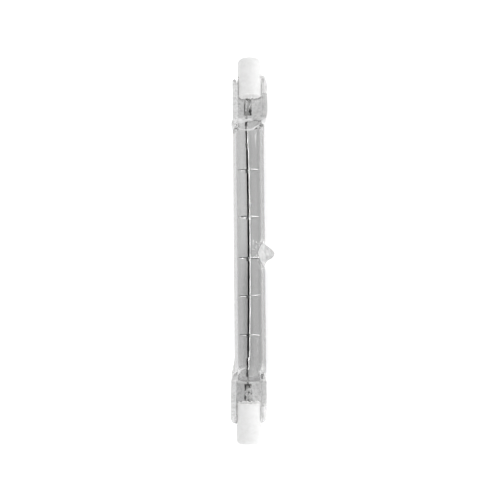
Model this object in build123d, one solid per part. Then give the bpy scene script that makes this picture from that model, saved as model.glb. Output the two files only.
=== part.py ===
from build123d import *
import math
import os

# Double-ended linear halogen lamp: a clear quartz tube pinched flat at both ends, with a coiled
# filament on five wire supports, foil seals in the pinches and a slotted ceramic cap on each end.
#
# It is modelled in the lamp's own directions first:
#   x  across the tube, towards the melted-off exhaust tip
#   y  along the tube, towards the end called top
#   z  square to the flat of the pinches
# and then rolled about its own axis until the exhaust tip and the tube both lie on z = 0,
# which is how a loose lamp comes to rest. All lengths are in millimetres.

# ---- driving dimensions -------------------------------------------------------------------
LAMP_LENGTH = 117.6          # over the two ceramic caps
CONTACT_SPAN = 114.2         # between the outer faces of the two recessed contacts
HALF = LAMP_LENGTH / 2.0
CONTACT_Y = CONTACT_SPAN / 2.0

TUBE_R = 4.77                # quartz tube, outside
TUBE_WALL = 1.10
BORE_R = TUBE_R - TUBE_WALL
SHOULDER_START = 35.9        # where the round tube begins to flatten
PINCH_START = 40.2           # where the pinch is fully flat
CAVITY_ROUND_END = 35.4      # the bore is round up to here
CAVITY_END = 39.3            # and closes to a slit here

PINCH_HALF_W = 5.40
PINCH_RIM_R = 1.65           # the rims are full rounds of this radius
PINCH_WEB_T = 2.30           # thickness of the pressed web between the rims
RIM_LEFT_W = 1.50
RIM_RIGHT_W = 1.20
PINCH_OFF_TOP = 0.62         # the pinches stand a little off the tube's axis
PINCH_OFF_BOTTOM = -0.60

TIP_Y = -1.88                # exhaust tip
TIP_SPHERE_R = 1.25
TIP_SPHERE_X = 6.45          # apex at 7.70 from the tube's axis
TIP_SQUASH = 0.70            # the tip is narrower round the tube than along it

CAP_R = 3.70                 # ceramic cap
CAP_TONGUE_R = 3.58
CAP_SLOT_T = 3.00            # slot that takes the pinch
CAP_SLOT_Y = 53.0            # bottom of the slot
CAP_TONGUE_Y = 47.1          # ends of the two tongues
CAP_CORNER_R = 1.40
CAP_BORE_R = 0.85
RECESS_R = 1.75
CONTACT_T = 0.60
CONTACT_R = 1.40             # the contact is narrower than the recess in front of it
CEMENT_Y = 46.3              # the cement stands out this far past the tongues
WEB_END_Y = 52.7

FOIL_T = 0.05                # molybdenum foil
FOIL_W = 2.40
FOIL_Z = -0.20               # its lower face
FOIL_IN_Y = 40.9
FOIL_OUT_Y = 50.4
FOIL_X_TOP = 0.0
FOIL_X_BOTTOM = -0.70
INNER_LEAD_R = 0.40
INNER_LEAD_Y = (37.3, 43.3)
CRIMP_Y = 38.8               # the filament's leg ends here, inside the inner lead
OUTER_LEAD_R = 0.35
OUTER_LEAD_Y = (48.9, 56.2)

COIL_R = 0.475               # outside radius of the filament's coil
LEG_R = 0.18
COIL_TOP_Y = 31.0
COIL_BOTTOM_Y = -35.5
FIL_X_TOP = -0.45            # the filament runs a little off the tube's axis
FIL_X_MID = -0.38
FIL_MID_Y = -3.0
FIL_X_BOTTOM = -0.85

SUPPORT_WIRE_R = 0.125
SUPPORT_GRIP_R = 0.61        # centre line of the turns that grip the coil
SUPPORT_RING_R = 3.02
SUPPORT_RING_X = -0.12       # the rings' centres, from the tube's axis
SUPPORT_PITCH = 0.34
SUPPORT_TURNS = 2.5
SUPPORT_Y = (23.85, 9.3, -3.2, -14.7, -26.5)
SUPPORT_TURN = (0.0, 74.0, -12.0, 148.0, 200.0)   # how far each one is turned about the axis
SUPPORT_TILT = (1.5, -1.0, 0.5, 2.5, -1.5)        # each ring leans a little across the tube, degrees
SUPPORT_NOD = (-4.0, -2.0, -2.0, -1.0, 1.5)       # and a little towards +z


def at_y(y):
    # a work plane square to the tube, looking along +y, with its own x along the model's x
    return Plane(origin=(0, y, 0), x_dir=(1, 0, 0), z_dir=(0, 1, 0))


def rod(radius, x, y0, y1, z=0.0):
    return extrude(Plane(origin=(x, y0, z), x_dir=(1, 0, 0), z_dir=(0, 1, 0)) * Circle(radius), y1 - y0)


def block(x0, x1, y0, y1, z0, z1):
    return Pos((x0 + x1) / 2, (y0 + y1) / 2, (z0 + z1) / 2) * Box(x1 - x0, y1 - y0, z1 - z0)


def ease(t):
    return t * t * (3.0 - 2.0 * t)


def ring_wire(y, t, r, half_w, half_t, offset, round_ends):
    # a closed section between a circle of radius r (t = 0) and a flat oval (t = 1), of four arcs
    cx0, cz0 = r * math.cos(math.radians(40)), r * math.sin(math.radians(40))
    cx1 = half_w - (half_t if round_ends else half_t * 0.8)
    cx = cx0 + (cx1 - cx0) * t
    cz = cz0 + (half_t - cz0) * t
    side = r + (half_w - r) * t
    top = r + (half_t - r) * t
    ox = offset * t
    a, b = (ox + cx, y, -cz), (ox + cx, y, cz)
    c, d = (ox - cx, y, cz), (ox - cx, y, -cz)
    right = ThreePointArc(a, (ox + side, y, 0), b)
    left = ThreePointArc(c, (ox - side, y, 0), d)
    if t >= 1.0:
        upper, lower = Line(b, c), Line(d, a)
    else:
        upper = ThreePointArc(b, (ox, y, top), c)
        lower = ThreePointArc(d, (ox, y, -top), a)
    return Wire([right.edge(), upper.edge(), left.edge(), lower.edge()])


def flat_oval(half_w, radius, x):
    w = 2 * (half_w - radius)
    return Pos(x, 0) * (Rectangle(w, 2 * radius) + Pos(w / 2, 0) * Circle(radius) + Pos(-w / 2, 0) * Circle(radius))


def pinch_outline(x, top_end):
    # the pinch seen square on, from its shoulder to its end, at +y
    w = PINCH_HALF_W
    y0, ye = PINCH_START, WEB_END_Y
    if top_end:
        # left ear: a round-topped bar with a notch between it and the cap; right ear: a long slope
        pts = [
            Line((-w, y0), (-w, 51.80)),
            ThreePointArc((-w, 51.80), (-w + 0.72, 52.52), (-w + 1.44, 51.80)),
            Line((-w + 1.44, 51.80), (-w + 1.50, 51.20)),
            Line((-w + 1.50, 51.20), (-3.72, 51.20)),
            Line((-3.72, 51.20), (-3.72, ye)),
            Line((-3.72, ye), (3.85, ye)),
            Line((3.85, ye), (3.85, 53.95)),
            ThreePointArc((3.85, 53.95), (4.88, 52.75), (w, 50.90)),
            Line((w, 50.90), (w, y0)),
            Line((w, y0), (-w, y0)),
        ]
    else:
        pts = [
            Line((-w, y0), (-w, 51.40)),
            ThreePointArc((-w, 51.40), (-w + 0.50, 52.40), (-w + 1.60, 52.80)),
            Line((-w + 1.60, 52.80), (-3.72, ye)),
            Line((-3.72, ye), (3.78, ye)),
            ThreePointArc((3.78, ye), (4.85, 52.10), (w, 50.60)),
            Line((w, 50.60), (w, y0)),
            Line((w, y0), (-w, y0)),
        ]
    return Pos(x, 0, 0) * make_face(Wire([p.edge() for p in pts]).edges())


def pocket(x, side):
    # the pressed recess in one face of the pinch, with a sloped start at the shoulder
    z0 = PINCH_WEB_T / 2
    prof = Polyline((40.2, 2.6), (40.2, 1.75), (41.0, z0), (54.6, z0), (54.6, 2.6), (40.2, 2.6))
    face = Plane(origin=(x - PINCH_HALF_W + RIM_LEFT_W, 0, 0), x_dir=(0, 1, 0), z_dir=(1, 0, 0)) * make_face(prof)
    cut = extrude(face, 2 * PINCH_HALF_W - RIM_LEFT_W - RIM_RIGHT_W)
    return cut if side > 0 else mirror(cut, Plane.XY)


def leads_and_foil(x_cap, x_foil, x_fil):
    # inner lead, foil and outer lead of one end, at +y, each one solid
    z_top = FOIL_Z + FOIL_T
    foil = block(x_foil - FOIL_W / 2, x_foil + FOIL_W / 2, FOIL_IN_Y, FOIL_OUT_Y, FOIL_Z, z_top)
    inner = rod(INNER_LEAD_R, x_fil, *INNER_LEAD_Y)
    inner -= block(x_fil - 1, x_fil + 1, FOIL_IN_Y, 60, -1, z_top)          # flattened where it is welded on
    inner -= rod(LEG_R, x_fil, INNER_LEAD_Y[0] - 1, CRIMP_Y)                # takes the filament's leg
    outer = rod(OUTER_LEAD_R, x_cap, *OUTER_LEAD_Y)
    outer -= block(x_cap - 1, x_cap + 1, 40, FOIL_OUT_Y, -1, z_top)
    return inner, foil, outer


def lead_void(x_cap, x_foil, x_fil):
    # the room that the three take in the glass, up to the end of the pinch
    inner, foil, outer = leads_and_foil(x_cap, x_foil, x_fil)
    solid_inner = inner + rod(LEG_R, x_fil, INNER_LEAD_Y[0], CRIMP_Y)
    return solid_inner, foil, outer


def glass_end(x, top_end, x_foil, x_fil):
    # shoulder and pinch of one end, at +y, and what is cut from it
    sections = []
    for i in range(5):
        t = i / 4.0
        y = SHOULDER_START + (PINCH_START - SHOULDER_START) * t
        sections.append(ring_wire(y, ease(t), TUBE_R, PINCH_HALF_W, PINCH_RIM_R, x, True))
    shoulder = Solid.make_loft(sections)
    prism = extrude(at_y(PINCH_START) * flat_oval(PINCH_HALF_W, PINCH_RIM_R, x), 15.0)
    outline = extrude(pinch_outline(x, top_end), 3.0, both=True)
    pinch = prism & outline
    pinch -= pocket(x, 1)
    pinch -= pocket(x, -1)
    pinch -= rod(CAP_R + 0.06, x, CAP_SLOT_Y - 0.3, 60)                      # clear of the cap's solid nose
    hollow = []
    for i in range(4):
        t = i / 3.0
        y = CAVITY_ROUND_END + (CAVITY_END - CAVITY_ROUND_END) * t
        hollow.append(ring_wire(y, ease(t), BORE_R, 3.30, 0.50, x * 0.6, True))
    cavity = Solid.make_loft(hollow)
    return shoulder, pinch, cavity, lead_void(x, x_foil, x_fil)


def exhaust_tip():
    a = math.radians(50)
    tx, tr = TIP_SPHERE_X + TIP_SPHERE_R * math.cos(a), TIP_SPHERE_R * math.sin(a)
    apex = TIP_SPHERE_X + TIP_SPHERE_R
    m = math.radians(25)
    arc = ThreePointArc((apex, 0), (TIP_SPHERE_X + TIP_SPHERE_R * math.cos(m), TIP_SPHERE_R * math.sin(m)), (tx, tr))
    flank = Spline((tx, tr), (6.20, 1.93), (5.20, 2.66), (4.50, 3.05))
    prof = Wire([
        arc.edge(),
        flank.edge(),
        Line((4.50, 3.05), (3.95, 3.05)).edge(),
        Line((3.95, 3.05), (3.95, 0)).edge(),
        Line((3.95, 0), (apex, 0)).edge(),
    ])
    tip = revolve(make_face(prof.edges()), Axis.X, 360)
    tip = scale(tip, by=(1, 1, TIP_SQUASH))
    hole = Plane(origin=(3.2, 0, 0), x_dir=(0, 1, 0), z_dir=(1, 0, 0)) * Cone(
        0.95, 0.18, 2.5, align=(Align.CENTER, Align.CENTER, Align.MIN)
    )
    return Pos(0, TIP_Y, 0) * tip, Pos(0, TIP_Y, 0) * hole


def resting_roll():
    # the roll at which the round of the tip just reaches the level of the tube's underside
    lo, hi = 10.0, 80.0
    for _ in range(60):
        mid = (lo + hi) / 2
        s, c = math.sin(math.radians(mid)), math.cos(math.radians(mid))
        reach = TIP_SPHERE_X * s + TIP_SPHERE_R * math.hypot(s, TIP_SQUASH * c)
        lo, hi = (mid, hi) if reach < TUBE_R else (lo, mid)
    return (lo + hi) / 2


def cap_end(x):
    # ceramic cap of one end, at +y: a round nose with a recess, and two tongues either side of a slot
    s = CAP_CORNER_R
    k = s * math.sqrt(0.5)
    prof = [
        Line((0, CAP_TONGUE_Y), (CAP_TONGUE_R - 0.25, CAP_TONGUE_Y)),
        ThreePointArc((CAP_TONGUE_R - 0.25, CAP_TONGUE_Y), (CAP_TONGUE_R - 0.07, CAP_TONGUE_Y + 0.07), (CAP_TONGUE_R, CAP_TONGUE_Y + 0.25)),
        Line((CAP_TONGUE_R, CAP_TONGUE_Y + 0.25), (CAP_R, CAP_SLOT_Y + 0.9)),
        Line((CAP_R, CAP_SLOT_Y + 0.9), (CAP_R, HALF - s)),
        ThreePointArc((CAP_R, HALF - s), (CAP_R - s + k, HALF - s + k), (CAP_R - s, HALF)),
        Line((CAP_R - s, HALF), (0, HALF)),
        Line((0, HALF), (0, CAP_TONGUE_Y)),
    ]
    cap = revolve(make_face(Wire([p.edge() for p in prof]).edges()), Axis.Y, 360)
    cap -= block(-6, 6, 40, CAP_SLOT_Y, -CAP_SLOT_T / 2, CAP_SLOT_T / 2)
    cap -= rod(CAP_BORE_R, 0, CAP_SLOT_Y - 1, HALF)
    cap -= rod(CONTACT_R, 0, CONTACT_Y - CONTACT_T, HALF)            # seat of the contact
    cap -= rod(RECESS_R, 0, CONTACT_Y, HALF + 1)
    mouth = Plane(origin=(0, HALF - 0.25, 0), x_dir=(1, 0, 0), z_dir=(0, 1, 0)) * Cone(
        RECESS_R, RECESS_R + 0.30, 0.30, align=(Align.CENTER, Align.CENTER, Align.MIN)
    )
    cap -= mouth
    return Pos(x, 0, 0) * cap


def contact_end(x):
    # nickel contact button: a disc on the floor of the recess, and a shank that holds the outer lead
    disc = rod(CONTACT_R, 0, CONTACT_Y - CONTACT_T, CONTACT_Y)
    disc = fillet(disc.edges().filter_by(GeomType.CIRCLE).sort_by(Axis.Y)[-1], 0.25)
    shank = rod(0.80, 0, 54.2, CONTACT_Y - CONTACT_T + 0.1)
    button = disc + shank
    button -= rod(OUTER_LEAD_R, 0, 50, OUTER_LEAD_Y[1])
    return Pos(x, 0, 0) * button


def cement_end(x):
    # cement that fills the slot round the web, and a bead that stands out past the tongues
    body = rod(CAP_TONGUE_R - 0.02, 0, CEMENT_Y, CAP_SLOT_Y) & block(-6, 6, CEMENT_Y, CAP_SLOT_Y, -CAP_SLOT_T / 2, CAP_SLOT_T / 2)
    body = Pos(x, 0, 0) * body
    body -= block(x - 6, x + 6, 40, WEB_END_Y, -PINCH_WEB_T / 2, PINCH_WEB_T / 2)
    body -= rod(OUTER_LEAD_R, x, 45, 60)
    return body


def support(y, turn, tilt, nod, x_fil):
    # one wire: turns that grip the coil, a half-round arm, and an open ring near the tube's axis
    wire, g, big = SUPPORT_WIRE_R, SUPPORT_GRIP_R, SUPPORT_RING_R
    dx = SUPPORT_RING_X - x_fil
    a = math.radians(turn)
    cx, cy = dx * math.cos(a), -dx * math.sin(a)       # the ring's centre, from the coil's
    # the arm is an arc that leaves the grip along its turn and runs into the ring from inside
    r = (big * big - (cx - g) ** 2 - cy * cy) / (2 * (big + cx - g))
    end = math.degrees(math.atan2(-cy, g - r - cx)) % 360
    arm = CenterArc((g - r, 0, 0), r, 0, end)
    ring = CenterArc((cx, cy, 0), big, end, 292)
    face = Plane(origin=(g, 0, 0), x_dir=(1, 0, 0), z_dir=(0, 1, 0)) * Circle(wire)
    flat = sweep(face, path=Wire([arm.edge(), ring.edge()])).solid()
    helix = Helix(pitch=SUPPORT_PITCH, height=SUPPORT_PITCH * SUPPORT_TURNS, radius=g)
    grip_face = Plane(origin=helix @ 0, z_dir=helix % 0) * Circle(wire)
    grip = sweep(grip_face, path=helix, is_frenet=True)
    # its upper end meets the arm; a small ball rounds the joint
    grip = (Pos(0, 0, -SUPPORT_PITCH * SUPPORT_TURNS) * Rot(0, 0, -360 * SUPPORT_TURNS) * grip).solid()
    ball = (Pos(g, 0, 0) * Sphere(wire * 1.12)).solid()
    one = Part() + [flat, ball, grip]
    # stand it square to the tube, turn it about the coil, lean it, and set it in place
    one = Rot(-90, 0, 0) * one
    one = Rot(0, turn, 0) * one
    one = Rot(0, 0, tilt) * one
    one = Rot(-nod, 0, 0) * one
    return Pos(x_fil, y, 0) * one


def fil_x(y):
    # the filament's offset from the tube's axis: an arc through three points
    pts = [(FIL_X_TOP, COIL_TOP_Y), (FIL_X_MID, FIL_MID_Y), (FIL_X_BOTTOM, COIL_BOTTOM_Y)]
    (x1, y1), (x2, y2), (x3, y3) = pts
    a = (y - y2) * (y - y3) / ((y1 - y2) * (y1 - y3)) * x1
    b = (y - y1) * (y - y3) / ((y2 - y1) * (y2 - y3)) * x2
    c = (y - y1) * (y - y2) / ((y3 - y1) * (y3 - y2)) * x3
    return a + b + c


def filament():
    # the coil as its outer round, on a very gentle arc, and its two straight legs
    path = ThreePointArc((FIL_X_TOP, COIL_TOP_Y, 0), (FIL_X_MID, FIL_MID_Y, 0), (FIL_X_BOTTOM, COIL_BOTTOM_Y, 0))
    tangent = path % 0
    face = Plane(origin=path @ 0, z_dir=tangent) * Circle(COIL_R)
    coil = sweep(face, path=path)
    top = rod(LEG_R, FIL_X_TOP, COIL_TOP_Y - 0.4, CRIMP_Y)
    bottom = rod(LEG_R, FIL_X_BOTTOM, -CRIMP_Y, COIL_BOTTOM_Y + 0.4)
    return coil + top + bottom


# ---- the pieces, in the lamp's own directions -----------------------------------------------
pieces = {}

tube = rod(TUBE_R, 0, -SHOULDER_START, SHOULDER_START)
bore = rod(BORE_R, 0, -CAVITY_ROUND_END, CAVITY_ROUND_END)
tip, tip_hole = exhaust_tip()

glass = tube + tip
hollows = [bore, tip_hole]
ends = {
    "top": (PINCH_OFF_TOP, FOIL_X_TOP, FIL_X_TOP),
    "bottom": (PINCH_OFF_BOTTOM, FOIL_X_BOTTOM, FIL_X_BOTTOM),
}
for name, (x_cap, x_foil, x_fil) in ends.items():
    flip = (lambda s: s) if name == "top" else (lambda s: mirror(s, Plane.XZ))
    shoulder, pinch, cavity, void = glass_end(x_cap, name == "top", x_foil, x_fil)
    glass = glass + flip(shoulder)
    glass = glass + flip(pinch)
    hollows.append(flip(cavity))
    hollows.extend(flip(v) for v in void)
    inner, foil, outer = leads_and_foil(x_cap, x_foil, x_fil)
    pieces["inner_lead_" + name] = flip(inner)
    pieces["foil_" + name] = flip(foil)
    pieces["outer_lead_" + name] = flip(outer)
    pieces["ceramic_cap_" + name] = flip(cap_end(x_cap))
    pieces["contact_" + name] = flip(contact_end(x_cap))
    pieces["cement_" + name] = flip(cement_end(x_cap))
for h in hollows:
    glass = glass - h
pieces["quartz_envelope"] = glass

pieces["filament"] = filament()
for i, (y, turn, tilt, nod) in enumerate(zip(SUPPORT_Y, SUPPORT_TURN, SUPPORT_TILT, SUPPORT_NOD), start=1):
    pieces[f"support_{i}"] = support(y, turn, tilt, nod, fil_x(y))

# ---- roll the lamp on to its exhaust tip, and set it on z = 0 --------------------------------
roll = resting_roll()
rolled = {k: Rot(0, roll, 0) * v for k, v in pieces.items()}
box = Compound(children=[s for v in rolled.values() for s in v.solids()]).bounding_box()
shift = Pos(-(box.min.X + box.max.X) / 2, -(box.min.Y + box.max.Y) / 2, TUBE_R)

os.makedirs("parts", exist_ok=True)
for name, shape in rolled.items():
    solids = (shift * shape).solids()
    out = solids[0] if len(solids) == 1 else Compound(children=solids)
    export_step(out, f"parts/{name}.step")
    print(name, len(solids), "solid(s), volume", round(sum(s.volume for s in solids), 3))
print("roll", round(roll, 4), "axis x", round(-(box.min.X + box.max.X) / 2, 4), "axis y", round(-(box.min.Y + box.max.Y) / 2, 4))
print("lowest", round(box.min.Z + TUBE_R, 4), "size", box.size)
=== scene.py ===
import bmesh
import bpy
import math
import numpy as np
from mathutils import Matrix, Vector, noise


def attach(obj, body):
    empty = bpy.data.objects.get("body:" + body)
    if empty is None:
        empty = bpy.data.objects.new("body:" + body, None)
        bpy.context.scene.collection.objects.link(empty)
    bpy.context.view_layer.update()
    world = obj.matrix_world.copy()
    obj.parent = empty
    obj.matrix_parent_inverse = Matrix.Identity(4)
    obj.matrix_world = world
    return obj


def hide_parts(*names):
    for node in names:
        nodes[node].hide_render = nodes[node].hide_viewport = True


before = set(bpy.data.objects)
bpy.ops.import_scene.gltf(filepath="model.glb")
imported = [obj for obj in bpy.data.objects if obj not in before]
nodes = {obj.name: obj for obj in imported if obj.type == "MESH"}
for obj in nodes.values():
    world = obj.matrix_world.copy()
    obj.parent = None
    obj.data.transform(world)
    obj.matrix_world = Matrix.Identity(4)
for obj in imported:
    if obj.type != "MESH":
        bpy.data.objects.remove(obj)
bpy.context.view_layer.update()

# The lamp's own directions, as the solids have them: x across towards the exhaust tip, y along,
# z square to the pinches, in millimetres; the lamp is rolled about its own axis to lie on its tip.
ROLL = math.radians(35.5759)
AX, AZ = -0.5975, 4.77
CR, SR = math.cos(ROLL), math.sin(ROLL)
U = Vector((CR, 0, -SR))
V = Vector((0, 1, 0))
W = Vector((SR, 0, CR))


def to_world(p):
    p = np.asarray(p, dtype=float)
    x, y, z = p[..., 0], p[..., 1], p[..., 2]
    return np.stack([(AX + x * CR + z * SR) / 1000, y / 1000, (AZ - x * SR + z * CR) / 1000], axis=-1)


# ---- camera: the photograph's ---------------------------------------------------------------
DIST, TILT, LEAN = 0.300, math.radians(6.6), math.radians(-0.55)
target = Vector((AX / 1000, 0, AZ / 1000)) + U * 0.00021 + V * -0.00073
back = (W * math.cos(TILT) - V * math.sin(TILT)).normalized()
up = (V * math.cos(TILT) + W * math.sin(TILT)).normalized()
right = up.cross(back).normalized()
cl, sl = math.cos(LEAN), math.sin(LEAN)
m = Matrix((right * cl + up * sl, up * cl - right * sl, back)).transposed().to_4x4()
m.translation = target + back * DIST
cam_data = bpy.data.cameras.new("camera")
cam = bpy.data.objects.new("camera", cam_data)
bpy.context.scene.collection.objects.link(cam)
cam.matrix_world = m
cam_data.sensor_width = 36
cam_data.lens = 36.0 * DIST / (500 * 0.3036e-3)
cam_data.clip_start = 0.01
cam_data.clip_end = 50
bpy.context.scene.camera = cam
bpy.context.scene.view_settings.view_transform = "Standard"


# ---- mesh helpers -----------------------------------------------------------------------------
def make_object(name, verts, faces, smooth=True, turn=True):
    """verts in lamp millimetres; turn makes every closed piece face outward."""
    me = bpy.data.meshes.new(name)
    me.from_pydata([tuple(v) for v in to_world(verts)], [], [tuple(int(i) for i in f) for f in faces])
    me.validate(clean_customdata=False)
    if turn:
        bm = bmesh.new()
        bm.from_mesh(me)
        bmesh.ops.recalc_face_normals(bm, faces=bm.faces)
        bm.to_mesh(me)
        bm.free()
    me.update()
    if smooth:
        me.polygons.foreach_set("use_smooth", [True] * len(me.polygons))
    ob = bpy.data.objects.new(name, me)
    bpy.context.scene.collection.objects.link(ob)
    return ob


def join_parts(parts):
    verts, faces, n = [], [], 0
    for v, f in parts:
        verts.append(np.asarray(v, dtype=float))
        faces.extend([tuple(i + n for i in g) for g in f])
        n += len(v)
    return np.concatenate(verts), faces


def smooth_noise(x, y, z, scale, seed=0.0):
    return noise.noise(Vector((x * scale + seed, y * scale - seed * 0.7, z * scale + seed * 1.3)))


def tube_along(path, radius, sides=8, closed_ends=True, squash=None):
    """A round wire along a list of points; radius may be one number or one per point."""
    p = np.asarray(path, dtype=float)
    n = len(p)
    r = np.full(n, radius, dtype=float) if np.isscalar(radius) else np.asarray(radius, dtype=float)
    t = np.gradient(p, axis=0)
    t /= np.linalg.norm(t, axis=1)[:, None]
    ref = np.array([0.0, 0.0, 1.0]) if abs(t[0][2]) < 0.9 else np.array([1.0, 0.0, 0.0])
    a = np.cross(t[0], ref)
    a /= np.linalg.norm(a)
    verts, faces = [], []
    for i in range(n):
        a = a - t[i] * np.dot(a, t[i])
        a /= np.linalg.norm(a)
        b = np.cross(t[i], a)
        for k in range(sides):
            an = 2 * math.pi * k / sides
            verts.append(p[i] + (a * math.cos(an) + b * math.sin(an)) * r[i])
    for i in range(n - 1):
        for k in range(sides):
            k2 = (k + 1) % sides
            faces.append((i * sides + k, i * sides + k2, (i + 1) * sides + k2, (i + 1) * sides + k))
    if closed_ends:
        for end, row, sign in ((0, 0, -1.0), (n - 1, (n - 1) * sides, 1.0)):
            c = len(verts)
            verts.append(p[end] + t[end] * r[end] * 0.6 * sign)
            for k in range(sides):
                k2 = (k + 1) % sides
                faces.append((row + k2, row + k, c) if sign < 0 else (row + k, row + k2, c))
    return np.array(verts), faces


def smin(a, b, k):
    k = np.maximum(k, 1e-6)
    h = np.clip(0.5 + 0.5 * (b - a) / k, 0, 1)
    return b * (1 - h) + a * h - k * h * (1 - h)


def smax(a, b, k):
    return -smin(-a, -b, k)


def ease(t):
    t = np.clip(t, 0, 1)
    return t * t * (3 - 2 * t)


def table(y, pts):
    return np.interp(y, [p[0] for p in pts], [p[1] for p in pts])


def smooth_table(y, pts, width=0.35):
    y = np.asarray(y, dtype=float)
    out = np.zeros_like(y)
    for k, w in ((-1.0, 0.15), (-0.5, 0.2), (0.0, 0.3), (0.5, 0.2), (1.0, 0.15)):
        out += w * table(y + k * width, pts)
    return out


# ---- the quartz envelope ---------------------------------------------------------------------
TUBE_R, BORE_R = 4.77, 3.67
RIM, WEB = 1.65, 1.15
OFF = {1: 0.62, -1: -0.60}
LEFT = {
    1: [(34, -4.77), (35.9, -4.78), (36.5, -4.82), (37.1, -5.0), (37.8, -5.25), (38.36, -5.33), (38.9, -5.2), (39.4, -4.9), (39.9, -4.78), (60, -4.78)],
    -1: [(31, -4.77), (32.7, -4.77), (34.2, -4.86), (35.1, -5.08), (36.3, -5.34), (37.5, -5.56), (38.7, -5.70), (39.9, -5.80), (41, -5.85), (43.4, -5.94), (45.8, -6.0), (60, -6.0)],
}
RIGHT = {
    1: [(33, 4.77), (35.8, 4.86), (37.1, 5.02), (38.36, 5.30), (39.6, 5.50), (40.9, 5.78), (42.1, 5.99), (43.7, 6.02), (60, 6.02)],
    -1: [(30, 4.77), (40, 4.79), (44, 4.80), (60, 4.80)],
}
TIP_Y = -2.15
TIP_UP = [(0, 2.92), (0.06, 2.91), (0.133, 2.86), (0.30, 2.62), (0.457, 2.26), (0.60, 1.80), (0.74, 1.26), (0.88, 0.60), (0.96, 0.24), (1.04, 0.07), (1.15, 0.0), (9, 0)]
TIP_DOWN = [(0, 2.92), (0.08, 2.87), (0.18, 2.63), (0.28, 2.24), (0.37, 1.76), (0.46, 1.16), (0.553, 0.66), (0.64, 0.40), (0.736, 0.22), (0.88, 0.07), (1.0, 0.0), (9, 0)]


def tip_height(a, b):
    ru = np.hypot(a / 3.0, b / 2.45)
    rd = np.hypot(a / 3.67, b / 3.05)
    w = ease((a + 0.7) / 1.4)
    wide = np.clip(b / 2.2, -1, 1) ** 2
    foot = 0.30 * (w * np.exp(-((ru - 1.02) / 0.22) ** 2) + (1 - w) * np.exp(-((rd - 0.80) / 0.20) ** 2)) * wide
    return smooth_table(ru, TIP_UP, 0.05) * w + smooth_table(rd, TIP_DOWN, 0.05) * (1 - w) + foot


def columns(fine, coarse, edge):
    ts = [0.0]
    while ts[-1] < math.pi - 0.02:
        step = fine if ts[-1] < edge else coarse
        ts.append(ts[-1] + step)
    ts = np.array(ts[:-1]) * (math.pi / ts[-1]) if ts[-1] != math.pi else np.array(ts[:-1])
    half = ts                                    # 0 ... just under pi
    pos = list(half[1:])
    return np.array([0.0] + pos + [math.pi] + [-t for t in reversed(pos)])


def pinch_half(x_rel, y, end, side):
    """Half the thickness of the pinch, x_rel from its middle. y, its distance from the lamp's middle, is not used."""
    dl, dr = x_rel + 5.4, 5.4 - x_rel
    d = np.minimum(dl, dr)
    full = np.where(d < RIM, np.sqrt(np.maximum(RIM ** 2 - (RIM - np.clip(d, 0, RIM)) ** 2, 0)), RIM)
    t = np.minimum(ease((dl - 1.25) / 0.5), ease((dr - 0.95) / 0.5))
    return full + (WEB - full) * t


def end_line(x_rel, end):
    """Where the pinch ends, for each place across it."""
    x = np.asarray(x_rel, dtype=float)
    if end > 0:
        left = 51.78 + np.sqrt(np.maximum(0.72 ** 2 - (x + 4.68) ** 2, 0))
        rr = np.interp(x, [3.80, 4.10, 4.50, 4.88, 5.15, 5.40], [53.97, 53.68, 53.25, 52.72, 51.98, 50.88])
        y = np.where(x < -3.96, left, np.where(x < -3.80, 51.2, np.where(x < 3.80, 52.7, rr)))
        return np.where(x < -5.36, np.minimum(y, 51.85), y)
    ll = np.interp(x, [-5.40, -5.25, -4.90, -4.40, -3.75], [51.38, 51.86, 52.38, 52.62, 52.78])
    rr = np.interp(x, [3.80, 4.40, 4.85, 5.15, 5.40], [52.80, 52.44, 52.08, 51.50, 50.58])
    return np.where(x < -3.75, ll, np.where(x < 3.80, 52.7, rr))


def outer_point(theta, y_abs, end, closing=None):
    """One row of the outer surface; y_abs may be one number, or one for each column."""
    y = np.broadcast_to(np.asarray(y_abs, dtype=float), theta.shape).copy()
    xl, xr = smooth_table(y, LEFT[end]), smooth_table(y, RIGHT[end])
    c, w = (xl + xr) / 2, (xr - xl) / 2
    x = c + w * np.cos(theta)
    s = np.abs(np.sin(theta))
    rnd = TUBE_R * s
    x_rel = np.cos(theta) * 5.4
    hp = np.zeros_like(x)
    for i in range(len(x)):
        side = 1 if theta[i] >= 0 else -1
        hp[i] = pinch_half(x_rel[i], y[i], end, side)
    front = theta >= 0
    if end > 0:
        plane_f = 4.75 - 0.85 * (y - 35.5) + 0.10 * (x - 0.45)
        plane_b = 4.75 - 0.88 * (y - 35.6) - 0.09 * (x - 0.45)
    else:
        plane_f = 1.15 + 0.86 * (40.1 - y) + 0.03 * x
        plane_b = 1.15 + 0.88 * (40.0 - y) - 0.05 * x
    plane = np.where(front, plane_f, plane_b)
    low = smax(hp, plane, 1.5 * s + 0.02)
    h = smin(rnd, low, 0.55 * s + 0.01)
    # pressed glass is never quite even
    press = ease((y - 38.6) / 2.0)
    for i in range(len(x)):
        if press[i] > 0 and s[i] > 0.02:
            sd = 1.0 if front[i] else -1.0
            n1 = smooth_noise(x[i], y[i] * end, sd * 7.0, 0.55, 3.1)
            n2 = smooth_noise(x[i], y[i] * end, sd * 7.0, 1.5, 11.7)
            web = 1.0 if abs(x_rel[i]) < 3.9 else 0.55
            h[i] += press[i] * s[i] * web * (0.10 * n1 + 0.035 * n2)
            if end > 0 and x_rel[i] < -3.9 and front[i]:
                h[i] += s[i] * (0.10 * math.exp(-((y[i] - 43.5) / 0.28) ** 2) + 0.09 * math.exp(-((y[i] - 41.6) / 0.25) ** 2))
    if closing is not None:
        h = h * closing
    z = np.where(front, h, -h)
    # slow unevenness of the drawn tube
    x = x + 0.010 * np.sin(y * end * 0.31 + 1.0) * np.cos(theta * 2)
    return x, y * end, z


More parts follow.
